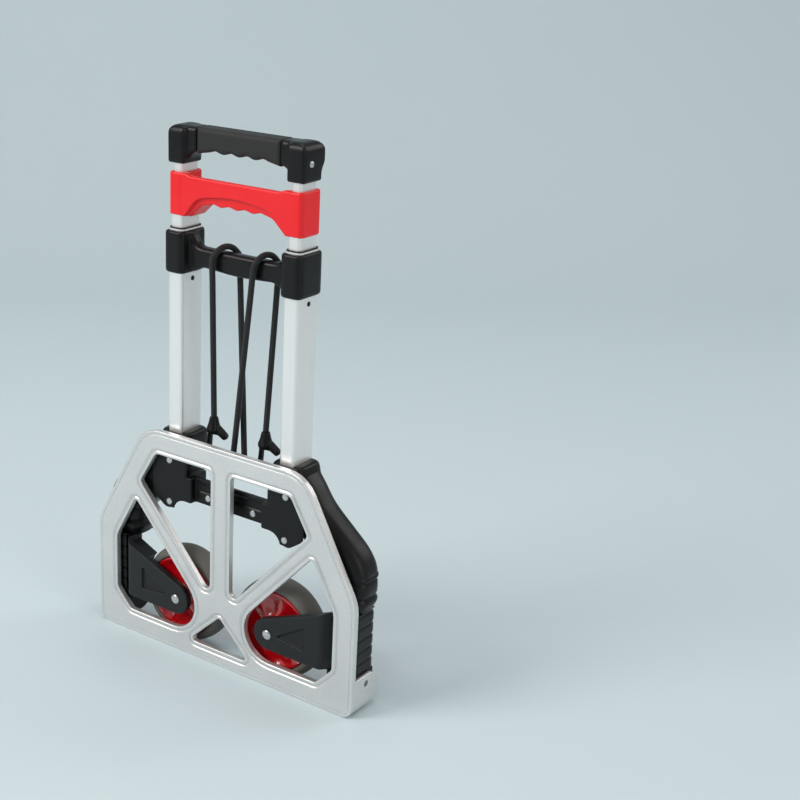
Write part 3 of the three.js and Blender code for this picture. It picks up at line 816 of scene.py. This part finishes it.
for s, sign in zip(SIDES, (-1, 1)):
    moulded(
        f"leg_{s}",
        f"leg_boot_{s}",
        BLACK,
        "black_plastic",
        voxel=0.0010,
        rounds=4,
        below=BOOT_TOP,
    )
    leg_shoulder(s, sign)
    leg_knuckle(s, sign)
    wheel(s, sign)
    moulded(
        f"wheel_bracket_{s}",
        f"bracket_moulding_{s}",
        ARM_BLACK,
        "black_plastic",
        voxel=0.0008,
        rounds=3,
        carve=[(FENDER_TOP, -0.0168, 0.0080), (FENDER_EDGE, -0.0300, 0.0080)],
    )
    moulded(f"axle_{s}", f"axle_rivet_{s}", STEEL, "steel", voxel=0.0005, rounds=14)
    moulded(
        f"handle_cap_{s}",
        f"handle_cap_moulding_{s}",
        BLACK,
        "black_plastic",
        voxel=0.0011,
        rounds=30,
    )
    moulded(
        f"hook_{s}", f"hook_moulding_{s}", BLACK, "black_plastic", voxel=0.0006, rounds=7
    )
moulded(
    "lower_bridge",
    "lower_bridge_moulding",
    BLACK,
    "black_plastic",
    voxel=0.0010,
    rounds=8,
    carve=[
        (BRIDGE_HOLLOW, -0.0035, 0.0250),
        (BRIDGE_SLOT_END, -0.0180, 0.0250),
        (PAD_CORNER, -0.0190, -0.0092),
    ],
)
WHOLE_PIECES = (
    ("upper_bridge", "upper_bridge_moulding", BLACK, "black_plastic", 0.0012, 20),
    ("red_crosspiece", "red_crosspiece_moulding", RED, "red_plastic", 0.0010, 8),
    ("handle_grip", "handle_grip_moulding", GRIP_BLACK, "black_plastic", 0.0009, 6),
)
for piece in WHOLE_PIECES:
    moulded(*piece)

# CAD pieces seen as they are, with the material each pair takes
CARRIED = {
    "main_tube": TUBE,
    "middle_tube": TUBE,
    "inner_tube": TUBE,
    "trim_ring": TUBE,
    "gasket": BLACK,
    "middle_glide": BLACK,
    "inner_glide": BLACK,
    "tube_plug": BLACK,
    "cord_ferrule": BLACK,
    "leg_screw": STEEL,
    "pad_screw_upper": STEEL,
    "pad_screw_lower": STEEL,
    "bar_screw": STEEL,
    "handle_screw": STEEL,
    "axle_washer": STEEL,
    "axle_clip": STEEL,
    "bracket_pin": STEEL,
    "toe_pin": DARK_STEEL,
}
for prefix, material in CARRIED.items():
    for s in SIDES:
        paint(nodes[f"{prefix}_{s}"].data, material)


# ---------- floor and light ----------
# where the flat floor ends and the radius it curves up with, on each side of the cart
NEAR_END, NEAR_RADIUS = -8.0, 2.0
FAR_END, FAR_RADIUS = 1.6, 1.2
WALL_TOP, FLOOR_HALF_X, CURVE_STEPS = 6.0, 7.0, 16
FLOOR_TURN = math.radians(38)
LIGHT_COLOR = (1.0, 0.97, 0.94)
LIGHT_AIM = (0, 0, 0.3)


def make_floor():
    """A sheet of paper, curved up into a wall at both ends."""
    bm = bmesh.new()
    curve = [math.pi / 2 * i / CURVE_STEPS for i in range(1, CURVE_STEPS + 1)]
    profile = [(NEAR_END - NEAR_RADIUS, WALL_TOP)]
    for a in reversed(curve):
        rise = NEAR_RADIUS * (1 - math.cos(a))
        profile.append((NEAR_END - NEAR_RADIUS * math.sin(a), rise))
    profile += [(NEAR_END, 0.0), (FAR_END, 0.0)]
    for a in curve:
        rise = FAR_RADIUS * (1 - math.cos(a))
        profile.append((FAR_END + FAR_RADIUS * math.sin(a), rise))
    profile.append((FAR_END + FAR_RADIUS, WALL_TOP))
    sides = (-FLOOR_HALF_X, FLOOR_HALF_X)
    rows = [[bm.verts.new((x, y, z)) for x in sides] for y, z in profile]
    for a, b in zip(rows, rows[1:]):
        face = bm.faces.new((a[0], a[1], b[1], b[0]))
        face.smooth = True
    mesh = bpy.data.meshes.new("floor")
    bm.to_mesh(mesh)
    bm.free()
    obj = linked("floor", mesh)
    obj.rotation_euler[2] = FLOOR_TURN
    m = Mat("floor_paper", (0.56, 0.66, 0.70), 0.8)
    cloud = m.noise(1.5, 2)
    m.tint(m.ramp(cloud, 0.3, 0.7, 0.0, 0.2), (0.60, 0.69, 0.73))
    mesh.materials.append(m.mat)


def area_light(name, place, size, power):
    data = bpy.data.lights.new(name, "AREA")
    data.shape = "RECTANGLE"
    data.size, data.size_y = size
    data.energy = power
    data.color = LIGHT_COLOR
    obj = linked(name, data)
    obj.location = place
    direction = Vector(LIGHT_AIM) - Vector(place)
    obj.rotation_euler = direction.to_track_quat("-Z", "Y").to_euler()


make_floor()
area_light("key", (-1.5, -2.4, 2.1), (1.6, 1.6), power=74)
area_light("fill", (2.6, -0.6, 1.2), (1.4, 2.0), power=17)
area_light("top", (0.0, 0.2, 2.8), (2.0, 2.0), power=22)
area_light("rim", (1.6, 2.4, 1.8), (1.2, 1.6), power=16)

world = bpy.data.worlds.new("studio")
bpy.context.scene.world = world
world.use_nodes = True
background = world.node_tree.nodes["Background"]
background.inputs["Color"].default_value = (1.0, 0.985, 0.97, 1)
background.inputs["Strength"].default_value = 0.38
bpy.context.scene.view_settings.view_transform = "Standard"
